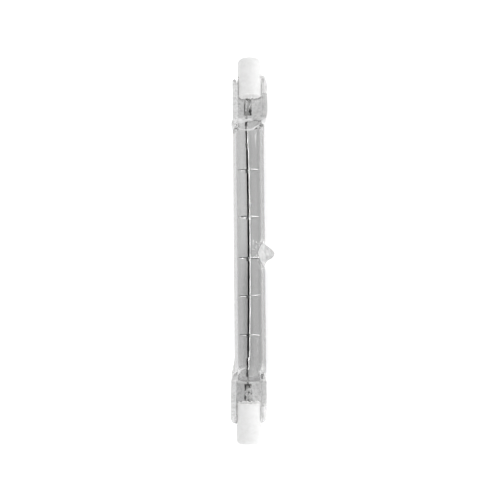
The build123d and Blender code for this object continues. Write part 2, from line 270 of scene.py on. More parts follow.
def build_outer():
    theta = columns(0.026, 0.0425, 0.62)
    n = len(theta)
    rows = []
    # from the bottom end to the top end: pieces of y, in the lamp's own direction
    ys = []
    ys += list(np.arange(-50.0, -41.0, 0.21))
    ys += list(np.arange(-41.0, -33.0, 0.15))
    ys += list(np.arange(-33.0, -6.4, 1.0))
    ys += list(np.arange(-6.4, 2.0, 0.14))
    ys += list(np.arange(2.0, 35.0, 1.0))
    ys += list(np.arange(35.0, 41.6, 0.14))
    ys += list(np.arange(41.6, 50.0, 0.21))
    ys.append(50.0)
    pts = []
    steps = 22
    # quarter round at the ends: spacing gets finer towards the end
    prof = []
    for j in range(1, steps + 1):
        t = j / steps
        prof.append(1 - (1 - t) ** 1.9)

    def end_rows(end):
        out = []
        yt = end_line(np.cos(theta) * 5.4, end)
        for s_ in prof:
            y = 50.0 + (yt - 50.0) * s_
            left = (yt - y)
            rr = np.minimum(0.9, yt - 50.0)
            k = np.clip(1 - left / rr, 0, 1)
            closing = np.sqrt(np.maximum(1 - k * k, 0))
            x, yy, z = outer_point(theta, y, end, closing)
            # the outline's corners draw in with the closing
            out.append(np.stack([x, yy, z], axis=1))
        return out
    bottom = end_rows(-1)
    top = end_rows(1)
    body = []
    for y in ys:
        end = 1 if y >= 0 else -1
        x, yy, z = outer_point(theta, abs(y), end)
        p = np.stack([x, yy, z], axis=1)
        # exhaust tip
        if -6.3 < y < 1.9:
            b = p[:, 2]
            a = y - TIP_Y
            h = tip_height(np.full(n, a), b) * (p[:, 0] > 0)
            amp = np.clip(h / 1.2, 0, 1)
            for i in np.nonzero(h > 0.02)[0]:
                q = p[i]
                nn = 0.10 * smooth_noise(q[0] + h[i], q[1], q[2], 0.75, 5.5) + 0.05 * smooth_noise(q[0] + h[i], q[1], q[2], 2.1, 2.5)
                p[i, 0] += h[i] + amp[i] * nn
                p[i, 2] += amp[i] * 0.10 * smooth_noise(q[0], q[1] + 3.0, q[2], 0.9, 8.5)
                under = 0.012 - (AZ - p[i, 0] * SR + p[i, 2] * CR)
                if under > 0:
                    p[i, 0] -= under * SR
                    p[i, 2] += under * CR
        body.append(p)
    rows = list(reversed(bottom)) + body + top
    verts = np.concatenate(rows)
    nr = len(rows)
    idx = np.arange(nr * n).reshape(nr, n)
    # the first and the last row are a line: back columns share the front columns' points
    for r in (0, nr - 1):
        for i in range(n):
            j = (n - i) % n
            if theta[i] < 0:
                idx[r, i] = idx[r, j]
        verts[idx[r], 2] = 0.0
    faces = []
    for r in range(nr - 1):
        for i in range(n):
            i2 = (i + 1) % n
            f = [idx[r, i], idx[r, i2], idx[r + 1, i2], idx[r + 1, i]]
            g = []
            for v in f:
                if v not in g:
                    g.append(v)
            if len(g) >= 3:
                faces.append(tuple(g))
    return verts, faces


def build_inner():
    n = 112
    theta = np.array([2 * math.pi * i / n for i in range(n)])
    theta = np.where(theta > math.pi, theta - 2 * math.pi, theta)
    rows = []

    def row(y_abs, end, line=False, frac=None):
        c_end = OFF[end] * 0.5
        t = ease((y_abs - 34.6) / 3.8)
        wid = BORE_R + (3.56 - BORE_R) * t
        c = c_end * t
        x = c + wid * np.cos(theta)
        s = np.abs(np.sin(theta))
        u = np.abs(np.cos(theta))
        # the cavity closes in a U: its sides end sooner than its middle
        stop = (39.2 if end > 0 else 40.2) - 1.0 * u ** 4
        y = np.full(n, y_abs)
        if frac is not None:
            start = 34.0
            y = start + (stop - start) * frac
            t = ease((y - 34.6) / 3.8)
            wid = BORE_R + (3.56 - BORE_R) * t
            x = c_end * t + wid * np.cos(theta)
        slope = 0.86
        left = np.maximum(stop - y, 0)
        plane = np.sqrt((slope * left) ** 2 + 2 * 0.05 * left)
        h = smin(BORE_R * s, plane, 0.5 * s + 0.01)
        h = np.maximum(h, 0)
        z = np.where(theta >= 0, h, -h)
        if line:
            z = z * 0
        return np.stack([x, y * end, z], axis=1)
    fr = [1 - (1 - j / 26) ** 1.5 for j in range(1, 27)]
    for f in reversed(fr):
        rows.append(row(0, -1, line=(f >= 1), frac=f))
    ys = [-34.0] + list(np.arange(-32.0, -4.5, 2.0)) + list(np.arange(-3.9, -0.3, 0.14)) + list(np.arange(1.0, 33.0, 2.0)) + [34.0]
    for y in ys:
        p = row(abs(y), 1 if y >= 0 else -1)
        a, b = y - TIP_Y, p[:, 2]
        r = np.hypot(a / 0.95, b / 0.85)
        h = 0.30 * np.exp(-(r ** 2) * 1.3) * (p[:, 0] > 0) * (r < 2.6)
        p[:, 0] += h
        rows.append(p)
    for f in fr:
        rows.append(row(0, 1, line=(f >= 1), frac=f))
    verts = np.concatenate(rows)
    nr = len(rows)
    idx = np.arange(nr * n).reshape(nr, n)
    for r in (0, nr - 1):
        for i in range(n):
            if theta[i] < 0:
                idx[r, i] = idx[r, (n - i) % n]
    faces = []
    for r in range(nr - 1):
        for i in range(n):
            i2 = (i + 1) % n
            f = [idx[r, i], idx[r + 1, i], idx[r + 1, i2], idx[r, i2]]
            g = []
            for v in f:
                if v not in g:
                    g.append(v)
            if len(g) >= 3:
                faces.append(tuple(g))
    return verts, faces


vo, fo = build_outer()
vi, fi = build_inner()
gv, gf = join_parts([(vo, fo), (vi, fi)])
used = sorted({i for f in gf for i in f})
remap = {v: k for k, v in enumerate(used)}
gv = gv[used]
gf = [tuple(remap[i] for i in f) for f in gf]
gf = [tuple(reversed(f)) for f in gf]
envelope = make_object("quartz_tube", gv, gf, turn=False)
co = np.zeros(len(envelope.data.vertices) * 3)
envelope.data.vertices.foreach_get("co", co)
co = co.reshape(-1, 3)
co[:, 2] = np.maximum(co[:, 2], 0.0)      # it lies on the floor, not in it
envelope.data.vertices.foreach_set("co", co.ravel())
envelope.data.update()
n_out = len({i for f in fo for i in f})


def set_value(ob, name, values):
    at = ob.data.attributes.new(name, "FLOAT", "POINT")
    at.data.foreach_set("value", np.asarray(values, dtype=np.float32))


# painted shade on the bore's wall: grey most on its low side, darkest beside the coil as a painted shadow of it, more
# towards the bottom end and less towards the exhaust tip
ia = np.arange(len(gv)) >= n_out
fx, fy = gv[:, 0], gv[:, 1]
painted_low_side_shade = ease((0.8 - gv[:, 2]) / 2.4)
lower = ease((9.0 - fy) / 24.0)
painted_coil_shadow = np.exp(-((fx + 1.3) / 1.7) ** 2)
grey_and_painted_shade = 0.03 + painted_low_side_shade * (0.20 + 0.30 * painted_coil_shadow + lower * (0.34 + 0.95 * painted_coil_shadow)) * (1 - 0.75 * ease((fx + 0.4) / 1.8))
ends_off = 0.3 + 0.7 * ease((39.6 - np.abs(fy)) / 2.2)
patch = np.array([noise.noise(Vector((p[0] * 0.5, p[1] * 0.12, p[2] * 0.5))) for p in gv])
# painted shade: outside, the tube's two flanks are coloured a little greyer than its front and back; the glass over
# each pinch's web is greyer left of its middle
off = np.where(fy > 0, OFF[1], OFF[-1])
web_grey = ease((np.abs(fy) - 39.6) / 1.2) * ease((1.0 - (fx - off)) / 2.2) * ease((4.1 - np.abs(fx - off)) / 0.4) * np.where(fy > 0, 0.45, 0.68)
painted_flank_shade = 0.80 * ease((np.abs(fx) - 2.5) / 1.5) * ease((36.4 - np.abs(fy)) / 1.6)
painted_flank_shade = painted_flank_shade * (1 - ease((fx - 1.6) / 0.8) * ease((1.35 - np.hypot((fy + 2.2) / 4.2, gv[:, 2] / 3.9)) / 0.35))
set_value(envelope, "grey_and_painted_shade", np.where(ia, np.clip(grey_and_painted_shade * ends_off + 0.06 * patch, 0, 2), painted_flank_shade + web_grey))
# pressed and melted places are a little rough
press = np.clip(ease((np.abs(fy) - 38.2) / 2.0) + 0.9 * ((gv[:, 0] > 4.95) & (fy < 2.0) & (fy > -6.5)), 0, 1)
set_value(envelope, "press", press)
outer_n = len(fo)
melted = np.zeros(len(envelope.data.polygons), dtype=np.int32)
centre = np.zeros(len(envelope.data.polygons) * 3)
envelope.data.polygons.foreach_get("center", centre)
centre = centre.reshape(-1, 3) * 1000.0
cx_ = (centre[:, 0] - AX) * CR - (centre[:, 2] - AZ) * SR
cz_ = (centre[:, 0] - AX) * SR + (centre[:, 2] - AZ) * CR
cy_ = centre[:, 1]
is_tip = (cx_ > 4.90) & (cy_ < 1.9) & (cy_ > -6.3) & (np.hypot(cx_, cz_) > 4.86)
is_pinch = (np.abs(cy_) > 38.9) & (np.hypot(cx_, cz_) > 0)
melted[is_pinch] = 1
in_outer = np.arange(len(cy_)) < outer_n
ay = np.abs(cy_)
round_z = np.sqrt(np.maximum(TUBE_R ** 2 - np.clip(cx_, -4.7, 4.7) ** 2, 0))
crease_top = np.abs(4.75 - 0.85 * (ay - 35.5) + 0.10 * (cx_ - 0.45) - round_z) < 0.20 + 0.06 * (cx_ > 1.5)
crease_bottom = (np.abs(1.15 + 0.86 * (40.1 - ay) + 0.03 * cx_ - round_z) < 0.16) & (cx_ < -1.2)
wedge = (ay > 38.05 + 0.8 * ease((cx_ + 2.5) / 3.5)) & (ay < 38.9 + 0.78 * ease((cx_ + 4.9) / 1.8)) & (cx_ < 1.4)
pale = (ay > 38.9) & (ay < 39.9)
corner_ = (ay > 35.6) & (ay < 39.6) & (np.abs(cx_) > 3.0)
ear_end = ay > 50.1
white_ear = (ay > 47.7) & (cx_ - np.where(cy_ > 0, OFF[1], OFF[-1]) > 3.75)
# painted highlight: the front faces along the creases where the pinches meet the tube, and a wedge on the top
# shoulder, get the white milky glass
painted_crease_highlight = np.where(cy_ > 0, (crease_top & (ay > 35.0) & (ay < 39.6)) | wedge, (crease_bottom & (ay > 36.2) & (ay < 39.2)))
melted[(corner_ | ear_end) & in_outer] = 3
melted[painted_crease_highlight & in_outer & (cz_ > 0)] = 2
melted[(ay > 46.4) & (ay <= 47.7) & (cx_ > 4.3) & in_outer] = 3
melted[white_ear & in_outer] = 2
melted[(ay > 50.9) & in_outer & (cx_ < 0)] = 2
melted[(ay > 37.7) & (ay < 39.9) & (np.abs(cx_) > 4.1) & in_outer] = 2
melted[is_tip | ((cx_ > 2.4) & (((cy_ + 2.2) / 4.2) ** 2 + (cz_ / 3.9) ** 2 < 1) & in_outer)] = 2
melted[pale & in_outer & (cy_ < 0) & (cz_ > 0)] = 3
# specks beside the tip, from melting it off
for i in np.nonzero((cx_ > 0.9) & (cx_ < 3.2) & (cy_ > -4.6) & (cy_ < 1.9) & (cz_ > 0) & in_outer)[0]:
    if noise.noise(Vector((cx_[i] * 2.1, cy_[i] * 1.7, 5.3))) > 0.30:
        melted[i] = 2
melted[(cy_ < 0) & (ay > 38.8) & (ay < 40.3) & (np.abs(cx_) > 3.7) & in_outer] = 2


# ---- filament -----------------------------------------------------------------------------------
def fil_x(y):
    pts = [(-0.41, 30.3), (-0.22, -3.0), (-0.66, -33.0)]
    (x1, y1), (x2, y2), (x3, y3) = pts
    a = (y - y2) * (y - y3) / ((y1 - y2) * (y1 - y3)) * x1
    b = (y - y1) * (y - y3) / ((y2 - y1) * (y2 - y3)) * x2
    c = (y - y1) * (y - y2) / ((y3 - y1) * (y3 - y2)) * x3
    return a + b + c


COIL_TOP, COIL_BOT = 30.3, -33.0
COIL_R = 0.475
LEG = {1: 0.38, -1: 0.42}


def build_filament():
    top, bot = COIL_TOP, COIL_BOT
    wire = 0.118
    rad = COIL_R - wire
    turns = 264
    per = 14
    n = turns * per
    path = []
    for i in range(n + 1):
        t = i / n
        # the pitch opens a little at three places, where the coil was stretched
        y = top + (bot - top) * t
        y += 0.10 * math.exp(-((y - 3.3) / 0.5) ** 2) - 0.10 * math.exp(-((y + 0.1) / 0.5) ** 2) + 0.08 * math.exp(-((y + 4.9) / 0.4) ** 2)
        a = 2 * math.pi * i / per
        wob = 0.02 * math.sin(y * 0.9) + 0.012 * math.sin(y * 2.3 + 1)
        path.append((fil_x(y) + 0.12 + wob + rad * math.cos(a), y, 0.02 * math.sin(y * 0.7) + rad * math.sin(a)))
    coil = tube_along(path, wire, sides=7)
    parts = [coil]
    # legs: the last turn runs in to the middle and on along the tube
    for sgn, x_end, y0 in ((1, -0.45, top), (-1, -0.85, bot)):
        leg = []
        for k in range(15):
            t = k / 14
            a = t * math.pi * 1.2
            r = rad * (1 - ease(t))
            leg.append((fil_x(y0) + 0.10 * (1 - t) + float(r) * math.cos(a) * 1.0, y0 + sgn * (0.05 + 0.7 * t), sgn * float(r) * math.sin(a)))
        for k in range(1, 13):
            y = abs(y0) + 0.75 + (38.75 - abs(y0) - 0.75) * k / 12
            leg.append((x_end + 0.03 * math.sin(y * 1.7 + sgn), sgn * y, 0.02 * math.sin(y * 1.1)))
        radii = []
        for k, q in enumerate(leg):
            grow = 0.14 + (LEG[sgn] - 0.14) * float(ease(k / 12))
            radii.append(min(grow, LEG[sgn] - (LEG[sgn] - 0.28) * float(ease((abs(q[1]) - 36.2) / 0.9))))
        parts.append(tube_along(leg, radii, sides=14))
    return join_parts(parts)


def set_tone(ob, values):
    """How bright the metal's colour is, point by point, from 0, dark, to 1, bright; on the filament, supports and pin
    it paints a highlight on one side of the wire.
    """
    at = ob.data.attributes.new("tone", "FLOAT", "POINT")
    at.data.foreach_set("value", np.asarray(values, dtype=np.float32))


fv, ff = build_filament()
filament = make_object("filament_coil", fv, ff)
# painted highlight: the side of the coil towards the exhaust tip is coloured bright, the rest dark; the upper leg is
# never quite dark
dxf = fv[:, 0] - np.array([fil_x(y) + 0.12 if COIL_BOT < y < COIL_TOP else (-0.45 if y > 0 else -0.85) for y in fv[:, 1]])
on_coil = (fv[:, 1] < COIL_TOP) & (fv[:, 1] > COIL_BOT)
half_w = np.where(on_coil, COIL_R, np.where(fv[:, 1] > 0, LEG[1], LEG[-1]))
painted_highlight_side = ease((dxf / half_w - np.where(on_coil, 0.52, 0.70)) / 0.06)
set_tone(filament, np.where(fv[:, 1] > COIL_TOP, 0.10 + 0.90 * painted_highlight_side, painted_highlight_side))


# ---- filament supports ----------------------------------------------------------------------------
SUPPORTS = [  # y, turn about the coil, lean across, lean along the view, small end loop
    (23.85, 0.0, 1.5, -6.5, True),
    (9.3, 74.0, -1.0, -3.0, False),
    (-3.2, -12.0, 0.5, -3.0, False),
    (-14.7, 148.0, 2.5, -1.5, False),
    (-26.5, 200.0, -1.5, 1.5, False),
]


def support_path(y, turn, tilt, nod, loop):
    g, big, pitch, turns = 0.60, 3.02, 0.34, 2.5
    x_fil = fil_x(y)
    dx = -0.12 - x_fil
    a = math.radians(turn)
    cx, cy = dx * math.cos(a), -dx * math.sin(a)
    r = (big * big - (cx - g) ** 2 - cy * cy) / (2 * (big + cx - g))
    end = math.atan2(-cy, g - r - cx) % (2 * math.pi)
    pts = []
    n = 60
    for i in range(n):                                  # turns round the coil, lowest first
        t = i / n
        an = -2 * math.pi * turns * (1 - t)
        pts.append((g * math.cos(an), g * math.sin(an), -pitch * turns * (1 - t)))
    k = max(8, int(end / 0.12))
    for i in range(k):
        an = end * i / k
        pts.append((g - r + r * math.cos(an), r * math.sin(an), 0.0))
    span = math.radians(292)
    m_ = 70
    for i in range(m_ + 1):
        an = end + span * i / m_
        pts.append((cx + big * math.cos(an), cy + big * math.sin(an), 0.05 * math.sin(3 * an + y)))
    if loop:                                            # a small eye at the free end
        an = end + span
        ex, ey = cx + big * math.cos(an), cy + big * math.sin(an)
        tx, ty = -math.sin(an), math.cos(an)
        for i in range(1, 15):
            q = 2 * math.pi * i / 14 * 0.86
            pts.append((ex + tx * 0.34 * math.sin(q) - math.cos(an) * 0.0, ey + ty * 0.34 * math.sin(q), 0.34 * (1 - math.cos(q)) * 1.0))
    out = []
    c, s = math.cos(a), math.sin(a)
    ct, st = math.cos(math.radians(tilt)), math.sin(math.radians(tilt))
    cn, sn = math.cos(math.radians(nod)), math.sin(math.radians(nod))
    for px, py, pz in pts:
        # local z becomes +y of the lamp, local y becomes -z
        x1, y1, z1 = px, pz, -py
        x2, z2 = c * x1 + s * z1, -s * x1 + c * z1
        x3, y3 = ct * x2 - st * y1, st * x2 + ct * y1
        y4, z4 = cn * y3 + sn * z2, -sn * y3 + cn * z2
        out.append((x_fil + x3, y + y4, z4))
    return out


supports = []
for i, args in enumerate(SUPPORTS, start=1):
    v, f = tube_along(support_path(*args), 0.125, sides=10)
    ob = make_object(f"filament_support_{i}", v, f)
    # painted highlight and painted shade on the wires: the right part is coloured bright, most on its near side, and
    # the left part is bright on its far side and dark on its near side; on the third support the right part is bright
    # only on its near side
    x = v[:, 0] + 0.12
    near = ease((v[:, 2] + 0.4) / 0.8)
    painted_lit_side = ease((x + 0.5) / 1.0)
    tone = painted_lit_side * (0.75 + 0.25 * near) + (1 - painted_lit_side) * (1 - near) * 0.9
    if i == 3:
        tone = painted_lit_side * near + (1 - painted_lit_side) * (1 - near)
    set_tone(ob, tone)
    supports.append(ob)


# ---- the metal in the pinches ---------------------------------------------------------------------
def build_foil(end):
    """Thin sheet with soft creases and a few dents, thinner at its long edges, closed all round."""
    xc = 0.0 if end > 0 else -0.70
    x0, x1, y0, y1 = xc - 1.2, xc + 1.2, 40.9, 50.4
    nx, ny = 28, 110
    rows = []
    for side in (1, -1):
        for j in range(ny + 1):
            y = y0 + (y1 - y0) * j / ny
            for i in range(nx + 1):
                u = i / nx
                x = x0 + (x1 - x0) * u
                edge = min(u, 1 - u) * 2
                half = 0.006 + 0.020 * min(1.0, edge * 3)
                crease = 0.10 * abs(((y * 0.62 + x * 0.30) % 1.0) - 0.5) + 0.10 * abs(((y * 0.47 - x * 0.55 + 0.3) % 1.0) - 0.5)
                fade = ease((49.5 - y) / 2.5) * ease((y - 40.9) / 0.8)
                roof = 0.24 - 0.52 * math.sqrt((x - xc) ** 2 + 0.004)
                z = -0.175 + (roof + (crease - 0.05) * 0.9 * (0.4 + 0.6 * edge)) * float(fade) + 0.04 * smooth_noise(x, y * end, 0.0, 1.1, 4.4)
                xx = x + 0.05 * smooth_noise(0.0, y * end, 2.0 * u, 0.9, 9.1)
                rows.append((xx, end * y, z + side * half))
    w = nx + 1
    size = w * (ny + 1)
    faces = []
    for j in range(ny):
        for i in range(nx):
            a, b, c, d = j * w + i, j * w + i + 1, (j + 1) * w + i + 1, (j + 1) * w + i
            faces.append((a, b, c, d))
            faces.append((size + a, size + d, size + c, size + b))
    for j in range(ny):
        for i, flip in ((0, False), (nx, True)):
            a, d = j * w + i, (j + 1) * w + i
            q = (a, d, size + d, size + a)
            faces.append(q if not flip else tuple(reversed(q)))
    for i in range(nx):
        for j, flip in ((0, True), (ny, False)):
            a, b = j * w + i, j * w + i + 1
            q = (a, b, size + b, size + a)
            faces.append(tuple(reversed(q)) if flip else q)
    if end < 0:
        faces = [tuple(reversed(f)) for f in faces]
    return np.array(rows), faces


DARK_SPOTS = {   # middle x and y, half widths, depth; in the pinch at each end
    1: [(0.66, 42.3, 0.50, 0.95, 1.0), (0.80, 41.0, 0.36, 0.75, 1.0), (-1.10, 43.1, 0.24, 1.9, 0.9), (-1.00, 41.9, 0.30, 0.50, 0.8), (-0.45, 46.2, 0.35, 0.5, 0.5), (0.2, 44.6, 0.12, 0.6, 0.3)],
    -1: [(-0.70, 41.0, 0.46, 0.50, 1.0), (-1.50, 41.9, 0.26, 1.15, 1.0), (-0.25, 41.8, 0.18, 0.50, 0.85), (-0.52, 43.5, 0.32, 0.30, 0.85), (0.26, 43.9, 0.28, 0.34, 0.85), (-1.65, 45.1, 0.32, 0.80, 1.0), (-0.95, 45.9, 0.22, 0.25, 0.7), (0.05, 45.6, 0.15, 0.25, 0.5)],
}
LIGHT_SPOTS = {
    1: [(-0.30, 44.4, 0.18, 1.4, 0.7), (0.1, 41.5, 0.5, 0.3, 0.8)],
    -1: [(-0.40, 42.5, 0.34, 0.60, 0.9), (-2.1, 43.6, 0.35, 0.35, 0.8), (-0.30, 44.7, 0.42, 0.42, 0.9), (-0.5, 46.0, 0.25, 0.3, 0.8), (0.6, 45.0, 0.25, 0.5, 0.6)],
}


def spotted(v, end, base):
    t = np.full(len(v), base)
    y = np.abs(v[:, 1])
    for sx, sy, wx, wy, d in LIGHT_SPOTS[end]:
        t += d * np.exp(-(((v[:, 0] - sx) / wx) ** 2 + ((y - sy) / wy) ** 2) ** 2) * (1.0 - base)
    for sx, sy, wx, wy, d in DARK_SPOTS[end]:
        t *= 1 - d * np.exp(-(((v[:, 0] - sx) / wx) ** 2 + ((y - sy) / wy) ** 2) ** 2)
    return np.clip(t, 0, 1)


def build_inner_lead(end):
    """The pin that the filament's leg is crimped in: a small rolled sleeve and a tapering tail; the cup that hooks
    round it comes from build_cup.
    """
    x = -0.45 if end > 0 else -0.85
    parts = []
    # sleeve, with lips
    prof = [(37.30, 0.30), (37.34, 0.40), (37.5, 0.42), (37.7, 0.40), (38.8, 0.40), (39.6, 0.39), (40.2, 0.37), (40.7, 0.33), (41.2, 0.26)]
    ys = np.linspace(37.3, 41.2, 40)
    path = [(x + 0.03 * math.sin(y * 1.3), end * y, -0.02) for y in ys]
    parts.append(tube_along(path, [float(np.interp(y, [p[0] for p in prof], [p[1] for p in prof])) for y in ys], sides=18))
    # tail on the foil: tapers and leans
    ys = np.linspace(40.9, 43.3, 22)
    path = [(x + 0.10 * (y - 40.9) / 2.4, end * y, 0.06 - 0.08 * (y - 40.9) / 2.4) for y in ys]
    parts.append(tube_along(path, [0.27 - 0.14 * (y - 40.9) / 2.4 for y in ys], sides=12))
    return join_parts(parts)


def build_cup(end):
    """A folded strip that hooks round the pin where it meets the foil."""
    x = -0.45 if end > 0 else -0.85
    pts = []
    for k in range(26):
        t = k / 25
        a = math.pi * (1.15 - 1.55 * t)
        pts.append((x + 0.10 + 0.62 * math.cos(a), end * (41.55 + 0.42 * math.sin(a)), 0.22 + 0.10 * math.sin(2 * a)))
    return tube_along(pts, [0.13 + 0.05 * math.sin(math.pi * k / 25) for k in range(26)], sides=10)


def build_outer_lead(end):
    """Round wire, a little thinner and lower where it is welded on the foil."""
    x = 0.62 if end > 0 else -0.60
    pts, rads = [], []
    ys = np.linspace(48.9, 56.2, 60)
    for y in ys:
        t = float(ease((y - 49.2) / 1.6))
        pts.append((x + 0.02 * math.sin(y * 1.4), end * y, -0.03 * (1 - t)))
        rads.append(0.30 + 0.04 * t)
    return tube_along(pts, rads, sides=14)


foils, inner_leads, outer_leads = {}, {}, {}
for name, end in (("top", 1), ("bottom", -1)):
    v, f = build_foil(end)
    foils[name] = make_object("seal_foil_" + name, v, f)
    set_tone(foils[name], spotted(v, end, 0.93))
    v, f = join_parts([build_inner_lead(end), build_cup(end)])
    inner_leads[name] = make_object("pin_" + name, v, f)
    xl = -0.45 if end > 0 else -0.85
    # painted highlight: the pin's shank is coloured bright only on its side towards the exhaust tip
    painted_lit_shank = ease(((v[:, 0] - xl) / 0.40 - 0.55) / 0.12)
    tail = spotted(v, end, 0.90) if end < 0 else np.full(len(v), 0.92)
    set_tone(inner_leads[name], np.where(np.abs(v[:, 1]) < 38.9, painted_lit_shank, tail))
    v, f = build_outer_lead(end)
    outer_leads[name] = make_object("lead_wire_" + name, v, f)
    set_tone(outer_leads[name], np.full(len(v), 0.6))


# ---- cement: fills the slot and stands out in an uneven bead ------------------------------------------
def build_cement(end):
    """Two lips, one on each face of the web, between the tongue of the cap and the glass, with a ragged front."""
    xo = OFF[end]
    parts = []
    for side in (1, -1):
        nx, ny = 72, 40
        top, bot = [], []
        for j in range(ny + 1):
            for i in range(nx + 1):
                u = -1 + 2 * i / nx
                x = 3.50 * u
                ragged = 0.50 * smooth_noise(x, 0.0, side * 3.0, 1.1, 21.0 + end) + 0.34 * smooth_noise(x, 0.0, side * 3.0, 3.1, 5.0 + end)
                start = 46.15 + ragged + 0.45 * abs(u) ** 6
                y = start + (52.6 - start) * (j / ny) ** 2.2
                rim = math.sqrt(max(3.58 ** 2 - x * x, 0.0))
                slot_h = min(1.47, rim)
                grow = float(ease((y - start) / (46.96 - start)))
                back_in = float(ease((y - 47.16) / 0.16))
                corner = 1.16 + max(rim - 0.04 - 1.16, 0.0) * (0.25 * grow + 0.75 * grow ** 2.2)
                h = corner * (1 - back_in) + max(slot_h, 1.1) * back_in
                h += (0.10 * smooth_noise(x, y, side * 2.0, 1.6, 2.0) + 0.04 * smooth_noise(x, y, side * 2.0, 4.0, 7.0)) * grow * (1 - back_in)
                top.append((xo + x, end * y, side * max(h, 1.08)))
                bot.append((xo + x, end * y, side * 1.05))
        w = nx + 1
        size = len(top)
        v = np.array(top + bot)
        f = []
        for j in range(ny):
            for i in range(nx):
                a, b, c, d = j * w + i, j * w + i + 1, (j + 1) * w + i + 1, (j + 1) * w + i
                f.append((a, b, c, d))
                f.append((size + a, size + d, size + c, size + b))
        for j in range(ny):
            a, d = j * w, (j + 1) * w
            f.append((a, d, size + d, size + a))
            a, d = j * w + nx, (j + 1) * w + nx
            f.append((a, size + a, size + d, d))
        for i in range(nx):
            a, b = i, i + 1
            f.append((a, size + a, size + b, b))
            a, b = ny * w + i, ny * w + i + 1
            f.append((a, b, size + b, size + a))
        if side * end > 0:
            f = [tuple(reversed(q)) for q in f]
        parts.append((v, f))
    return join_parts(parts)


cements = {}
for name, end in (("top", 1), ("bottom", -1)):
    v, f = build_cement(end)
    cements[name] = make_object("cement_bead_" + name, v, f)


# ---- materials -----------------------------------------------------------------------------------
def new_material(name):
    mat = bpy.data.materials.new(name)
    mat.use_nodes = True
    nt = mat.node_tree
    bsdf = nt.nodes["Principled BSDF"]
    return mat, nt, bsdf


def noise_node(nt, scale, detail=4.0, rough=0.55, coords="Object", stretch=(1, 1, 1)):
    tc = nt.nodes.new("ShaderNodeTexCoord")
    mp = nt.nodes.new("ShaderNodeMapping")
    mp.inputs["Scale"].default_value = stretch
    nz = nt.nodes.new("ShaderNodeTexNoise")
    nz.inputs["Scale"].default_value = scale
    nz.inputs["Detail"].default_value = detail
    nz.inputs["Roughness"].default_value = rough
    nt.links.new(tc.outputs[coords], mp.inputs["Vector"])
    nt.links.new(mp.outputs["Vector"], nz.inputs["Vector"])
    return nz


def ramp(nt, source, stops):
    r = nt.nodes.new("ShaderNodeValToRGB")
    els = r.color_ramp.elements
    els[0].position, els[0].color = stops[0]
    els[1].position, els[1].color = stops[-1]
    for pos, col in stops[1:-1]:
        e = els.new(pos)
        e.color = col
    nt.links.new(source, r.inputs["Fac"])
    return r


def map_range(nt, source, lo, hi):
    mr = nt.nodes.new("ShaderNodeMapRange")
    mr.inputs["From Min"].default_value = 0.3
    mr.inputs["From Max"].default_value = 0.7
    mr.inputs["To Min"].default_value = lo
    mr.inputs["To Max"].default_value = hi
    nt.links.new(source, mr.inputs["Value"])
    return mr


def bump(nt, bsdf, source, strength, distance):
    b = nt.nodes.new("ShaderNodeBump")
    b.inputs["Strength"].default_value = strength
    b.inputs["Distance"].default_value = distance
    nt.links.new(source, b.inputs["Height"])
    nt.links.new(b.outputs["Normal"], bsdf.inputs["Normal"])
    return b


def grey(v, a=1.0):
    return (v, v, v, a)


quartz, nt, bs = new_material("quartz")
bs.inputs["Transmission Weight"].default_value = 1.0
bs.inputs["IOR"].default_value = 1.458
nz = noise_node(nt, 260.0, 3.0, 0.5, stretch=(1, 0.35, 1))
mr = map_range(nt, nz.outputs["Fac"], 0.0, 0.035)
at = nt.nodes.new("ShaderNodeAttribute")
at.attribute_type = "GEOMETRY"
at.attribute_name = "press"
nz3 = noise_node(nt, 900.0, 3.0, 0.6)
mr3 = map_range(nt, nz3.outputs["Fac"], 0.10, 0.24)
mx = nt.nodes.new("ShaderNodeMix")
mx.data_type = "FLOAT"
nt.links.new(at.outputs["Fac"], mx.inputs["Factor"])
nt.links.new(mr.outputs["Result"], mx.inputs["A"])
nt.links.new(mr3.outputs["Result"], mx.inputs["B"])
nt.links.new(mx.outputs["Result"], bs.inputs["Roughness"])
# painted shade: the glass's base colour greys where the mesh's shade attribute is high, inside the bore and on the
# flanks
at = nt.nodes.new("ShaderNodeAttribute")
at.attribute_type = "GEOMETRY"
at.attribute_name = "grey_and_painted_shade"
rp = nt.nodes.new("ShaderNodeValToRGB")
rp.color_ramp.elements[0].position, rp.color_ramp.elements[0].color = 0.0, grey(0.74)
rp.color_ramp.elements[1].position, rp.color_ramp.elements[1].color = 1.0, grey(0.20)
hf = nt.nodes.new("ShaderNodeMath")
hf.operation = "MULTIPLY"
hf.inputs[1].default_value = 0.5
nt.links.new(at.outputs["Fac"], hf.inputs[0])
nt.links.new(hf.outputs["Value"], rp.inputs["Fac"])
nt.links.new(rp.outputs["Color"], bs.inputs["Base Color"])
nz2 = noise_node(nt, 420.0, 2.0, 0.5, stretch=(1, 0.5, 1))
bump(nt, bs, nz2.outputs["Fac"], 0.06, 0.0001)


